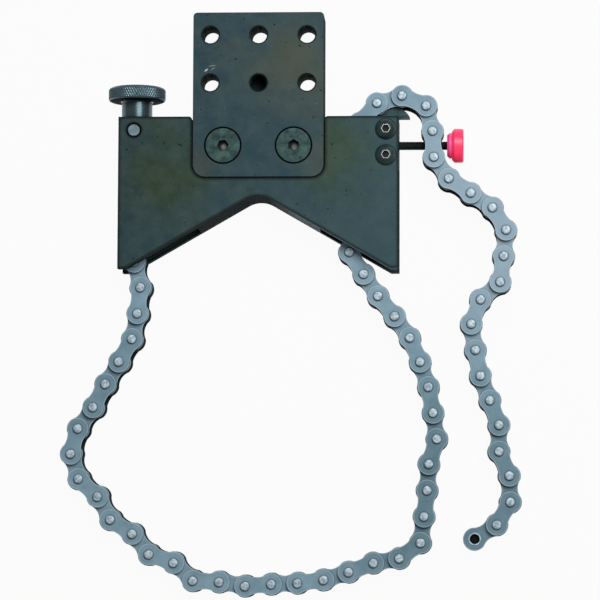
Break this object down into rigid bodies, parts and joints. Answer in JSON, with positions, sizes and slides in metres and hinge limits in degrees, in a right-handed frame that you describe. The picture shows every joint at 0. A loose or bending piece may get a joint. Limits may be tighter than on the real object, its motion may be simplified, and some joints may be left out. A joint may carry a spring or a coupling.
{
  "type": "locking chain clamp",
  "caption": "V-block clamp with a roller chain that wraps a shaft, a knurled nut that draws the chain tight, a red screw that locks a link, and a drilled adapter plate.",
  "frame": {"origin": "theoretical apex of the V on the block's back face, the face the clamp lies on", "axes": "+X from the tensioner side to the lock side, +Y from the V up the adapter plate, +Z out of the front face"},
  "size_m": [0.224, 0.2834, 0.0329],
  "materials": {
    "blackened_steel": "black oxide on milled steel",
    "blackened_plate": "black oxide on milled steel",
    "black_screw": "black oxide on alloy steel screws",
    "gunmetal": "turned and blackened steel",
    "bright_steel": "ground steel",
    "chain_steel": "blued roller-chain steel",
    "red_plastic": "moulded"
  },
  "bodies": {
    "block": {"v_block": "blackened_steel", "adapter_plate": "blackened_plate", "plate_screws": "black_screw", "chain_guide": "gunmetal", "guide_screws": "black_screw", "trunnion_pins": "bright_steel", "slot_run": "chain_steel", "nose_run": "chain_steel"},
    "trunnion": {"trunnion": "gunmetal"},
    "tension_nut": {"tension_nut": "gunmetal"},
    "draw_rod": {"draw_rod": "bright_steel"},
    "lock_screw": {"lock_screw": "black_screw"},
    "lock_knob": {"lock_knob": "red_plastic"},
    "loop_01": {"loop_01": "chain_steel"},
    "loop_02": {"loop_02": "chain_steel"},
    "loop_03": {"loop_03": "chain_steel"},
    "loop_04": {"loop_04": "chain_steel"},
    "loop_05": {"loop_05": "chain_steel"},
    "loop_06": {"loop_06": "chain_steel"},
    "loop_07": {"loop_07": "chain_steel"},
    "loop_08": {"loop_08": "chain_steel"},
    "loop_09": {"loop_09": "chain_steel"},
    "loop_10": {"loop_10": "chain_steel"},
    "loop_11": {"loop_11": "chain_steel"},
    "loop_12": {"loop_12": "chain_steel"},
    "loop_13": {"loop_13": "chain_steel"},
    "loop_14": {"loop_14": "chain_steel"},
    "loop_15": {"loop_15": "chain_steel"},
    "loop_16": {"loop_16": "chain_steel"},
    "loop_17": {"loop_17": "chain_steel"},
    "loop_18": {"loop_18": "chain_steel"},
    "loop_19": {"loop_19": "chain_steel"},
    "loop_20": {"loop_20": "chain_steel"},
    "tail_01": {"tail_01": "chain_steel"},
    "tail_02": {"tail_02": "chain_steel"},
    "tail_03": {"tail_03": "chain_steel"},
    "tail_04": {"tail_04": "chain_steel"},
    "tail_05": {"tail_05": "chain_steel"},
    "tail_06": {"tail_06": "chain_steel"},
    "tail_07": {"tail_07": "chain_steel"},
    "tail_08": {"tail_08": "chain_steel"},
    "tail_09": {"tail_09": "chain_steel"},
    "tail_10": {"tail_10": "chain_steel"},
    "tail_11": {"tail_11": "chain_steel"},
    "tail_12": {"tail_12": "chain_steel"},
    "tail_13": {"tail_13": "chain_steel"},
    "tail_14": {"tail_14": "chain_steel"},
    "tail_15": {"tail_15": "chain_steel"},
    "tail_16": {"tail_16": "chain_steel"},
    "tail_17": {"tail_17": "chain_steel"}
  },
  "joints": [
    {"name": "trunnion_swing", "type": "hinge", "parent": "block", "child": "trunnion", "pos_m": [-0.0605, 0.0305, 0.015], "axis": [0, 0, -1], "range_deg": [-3, 25]},
    {"name": "nut_turn", "type": "hinge", "parent": "trunnion", "child": "tension_nut", "pos_m": [-0.0605, 0.037, 0.015], "axis": [0, -1, 0], "range_deg": [0, 2592]},
    {"name": "rod_draw", "type": "slide", "parent": "trunnion", "child": "draw_rod", "axis": [0, 1, 0], "range_m": [0, 0.0091]},
    {"name": "lock_travel", "type": "slide", "parent": "block", "child": "lock_screw", "axis": [1, 0, 0], "range_m": [0, 0.036]},
    {"name": "lock_turn", "type": "hinge", "parent": "lock_screw", "child": "lock_knob", "pos_m": [0.091, 0.0243, 0.015], "axis": [1, 0, 0], "range_deg": [0, 18520]},
    {"name": "loop_01_pivot", "type": "hinge", "parent": "block", "child": "loop_01", "pos_m": [0.04402, -0.02846, 0.015], "axis": [0, 0, 1], "range_deg": [0, 4]},
    {"name": "loop_02_pivot", "type": "hinge", "parent": "loop_01", "child": "loop_02", "pos_m": [0.05792, -0.04972, 0.015], "axis": [0, 0, -1], "range_deg": [-5, 0]},
    {"name": "loop_03_pivot", "type": "hinge", "parent": "loop_02", "child": "loop_03", "pos_m": [0.07327, -0.06994, 0.015], "axis": [0, 0, 1], "range_deg": [0, 7]},
    {"name": "loop_04_pivot", "type": "hinge", "parent": "loop_03", "child": "loop_04", "pos_m": [0.08225, -0.09367, 0.015], "axis": [0, 0, -1], "range_deg": [-9, 0]},
    {"name": "loop_05_pivot", "type": "hinge", "parent": "loop_04", "child": "loop_05", "pos_m": [0.08633, -0.11874, 0.015], "axis": [0, 0, 1], "range_deg": [0, 14]},
    {"name": "loop_06_pivot", "type": "hinge", "parent": "loop_05", "child": "loop_06", "pos_m": [0.08163, -0.14351, 0.015], "axis": [0, 0, -1], "range_deg": [-25, 0]},
    {"name": "loop_07_pivot", "type": "hinge", "parent": "loop_06", "child": "loop_07", "pos_m": [0.07843, -0.16871, 0.015], "axis": [0, 0, 1], "range_deg": [0, 45]},
    {"name": "loop_08_pivot", "type": "hinge", "parent": "loop_07", "child": "loop_08", "pos_m": [0.0557, -0.1785, 0.015], "axis": [0, 0, -1], "range_deg": [-45, 0]},
    {"name": "loop_09_pivot", "type": "hinge", "parent": "loop_08", "child": "loop_09", "pos_m": [0.03167, -0.18669, 0.015], "axis": [0, 0, 1], "range_deg": [0, 45]},
    {"name": "loop_10_pivot", "type": "hinge", "parent": "loop_09", "child": "loop_10", "pos_m": [0.00638, -0.18882, 0.015], "axis": [0, 0, -1], "range_deg": [-45, 0]},
    {"name": "loop_11_pivot", "type": "hinge", "parent": "loop_10", "child": "loop_11", "pos_m": [-0.01884, -0.18788, 0.015], "axis": [0, 0, 1], "range_deg": [-4, 45]},
    {"name": "loop_12_pivot", "type": "hinge", "parent": "loop_11", "child": "loop_12", "pos_m": [-0.04087, -0.1787, 0.015], "axis": [0, 0, -1], "range_deg": [-45, 4]},
    {"name": "loop_13_pivot", "type": "hinge", "parent": "loop_12", "child": "loop_13", "pos_m": [-0.06096, -0.16483, 0.015], "axis": [0, 0, 1], "range_deg": [-5, 45]},
    {"name": "loop_14_pivot", "type": "hinge", "parent": "loop_13", "child": "loop_14", "pos_m": [-0.0779, -0.14693, 0.015], "axis": [0, 0, -1], "range_deg": [-45, 6]},
    {"name": "loop_15_pivot", "type": "hinge", "parent": "loop_14", "child": "loop_15", "pos_m": [-0.09106, -0.12622, 0.015], "axis": [0, 0, 1], "range_deg": [-7, 45]},
    {"name": "loop_16_pivot", "type": "hinge", "parent": "loop_15", "child": "loop_16", "pos_m": [-0.08027, -0.10365, 0.015], "axis": [0, 0, -1], "range_deg": [-45, 8]},
    {"name": "loop_17_pivot", "type": "hinge", "parent": "loop_16", "child": "loop_17", "pos_m": [-0.06776, -0.08156, 0.015], "axis": [0, 0, 1], "range_deg": [-10, 45]},
    {"name": "loop_18_pivot", "type": "hinge", "parent": "loop_17", "child": "loop_18", "pos_m": [-0.05897, -0.05807, 0.015], "axis": [0, 0, -1], "range_deg": [-45, 14]},
    {"name": "loop_19_pivot", "type": "hinge", "parent": "loop_18", "child": "loop_19", "pos_m": [-0.0605, -0.0331, 0.015], "axis": [0, 0, 1], "range_deg": [-24, 45]},
    {"name": "loop_20_pivot", "type": "hinge", "parent": "loop_19", "child": "loop_20", "pos_m": [-0.0605, -0.0077, 0.015], "axis": [0, 0, -1], "range_deg": [-45, 45]},
    {"name": "tail_01_pivot", "type": "hinge", "parent": "block", "child": "tail_01", "pos_m": [0.08497, 0.01796, 0.015], "axis": [0, 0, 1], "range_deg": [-3, 5]},
    {"name": "tail_02_pivot", "type": "hinge", "parent": "tail_01", "child": "tail_02", "pos_m": [0.09225, 0.00756, 0.015], "axis": [0, 0, -1], "range_deg": [-40, 3]},
    {"name": "tail_03_pivot", "type": "hinge", "parent": "tail_02", "child": "tail_03", "pos_m": [0.10278, 0.00045, 0.015], "axis": [0, 0, 1], "range_deg": [-3, 40]},
    {"name": "tail_04_pivot", "type": "hinge", "parent": "tail_03", "child": "tail_04", "pos_m": [0.11331, -0.00665, 0.015], "axis": [0, 0, -1], "range_deg": [-40, 3]},
    {"name": "tail_05_pivot", "type": "hinge", "parent": "tail_04", "child": "tail_05", "pos_m": [0.11985, -0.01753, 0.015], "axis": [0, 0, 1], "range_deg": [-4, 40]},
    {"name": "tail_06_pivot", "type": "hinge", "parent": "tail_05", "child": "tail_06", "pos_m": [0.11874, -0.03019, 0.015], "axis": [0, 0, -1], "range_deg": [-40, 4]},
    {"name": "tail_07_pivot", "type": "hinge", "parent": "tail_06", "child": "tail_07", "pos_m": [0.11698, -0.04276, 0.015], "axis": [0, 0, 1], "range_deg": [-5, 40]},
    {"name": "tail_08_pivot", "type": "hinge", "parent": "tail_07", "child": "tail_08", "pos_m": [0.10754, -0.05126, 0.015], "axis": [0, 0, -1], "range_deg": [-40, 5]},
    {"name": "tail_09_pivot", "type": "hinge", "parent": "tail_08", "child": "tail_09", "pos_m": [0.10299, -0.06312, 0.015], "axis": [0, 0, 1], "range_deg": [-6, 40]},
    {"name": "tail_10_pivot", "type": "hinge", "parent": "tail_09", "child": "tail_10", "pos_m": [0.10497, -0.07566, 0.015], "axis": [0, 0, -1], "range_deg": [-40, 7]},
    {"name": "tail_11_pivot", "type": "hinge", "parent": "tail_10", "child": "tail_11", "pos_m": [0.1074, -0.08813, 0.015], "axis": [0, 0, 1], "range_deg": [-8, 40]},
    {"name": "tail_12_pivot", "type": "hinge", "parent": "tail_11", "child": "tail_12", "pos_m": [0.11195, -0.09998, 0.015], "axis": [0, 0, -1], "range_deg": [-40, 9]},
    {"name": "tail_13_pivot", "type": "hinge", "parent": "tail_12", "child": "tail_13", "pos_m": [0.11629, -0.11192, 0.015], "axis": [0, 0, 1], "range_deg": [-12, 40]},
    {"name": "tail_14_pivot", "type": "hinge", "parent": "tail_13", "child": "tail_14", "pos_m": [0.11629, -0.12462, 0.015], "axis": [0, 0, -1], "range_deg": [-40, 16]},
    {"name": "tail_15_pivot", "type": "hinge", "parent": "tail_14", "child": "tail_15", "pos_m": [0.12125, -0.13631, 0.015], "axis": [0, 0, 1], "range_deg": [-24, 40]},
    {"name": "tail_16_pivot", "type": "hinge", "parent": "tail_15", "child": "tail_16", "pos_m": [0.1217, -0.149, 0.015], "axis": [0, 0, -1], "range_deg": [-40, 40]},
    {"name": "tail_17_pivot", "type": "hinge", "parent": "tail_16", "child": "tail_17", "pos_m": [0.11516, -0.15989, 0.015], "axis": [0, 0, 1], "range_deg": [-40, 40]}
  ],
  "couplings": [
    {"joint": "rod_draw", "follows": "nut_turn", "m_per_rad": 0.00019894},
    {"joint": "lock_turn", "follows": "lock_travel", "rad_per_m": 8976}
  ]
}
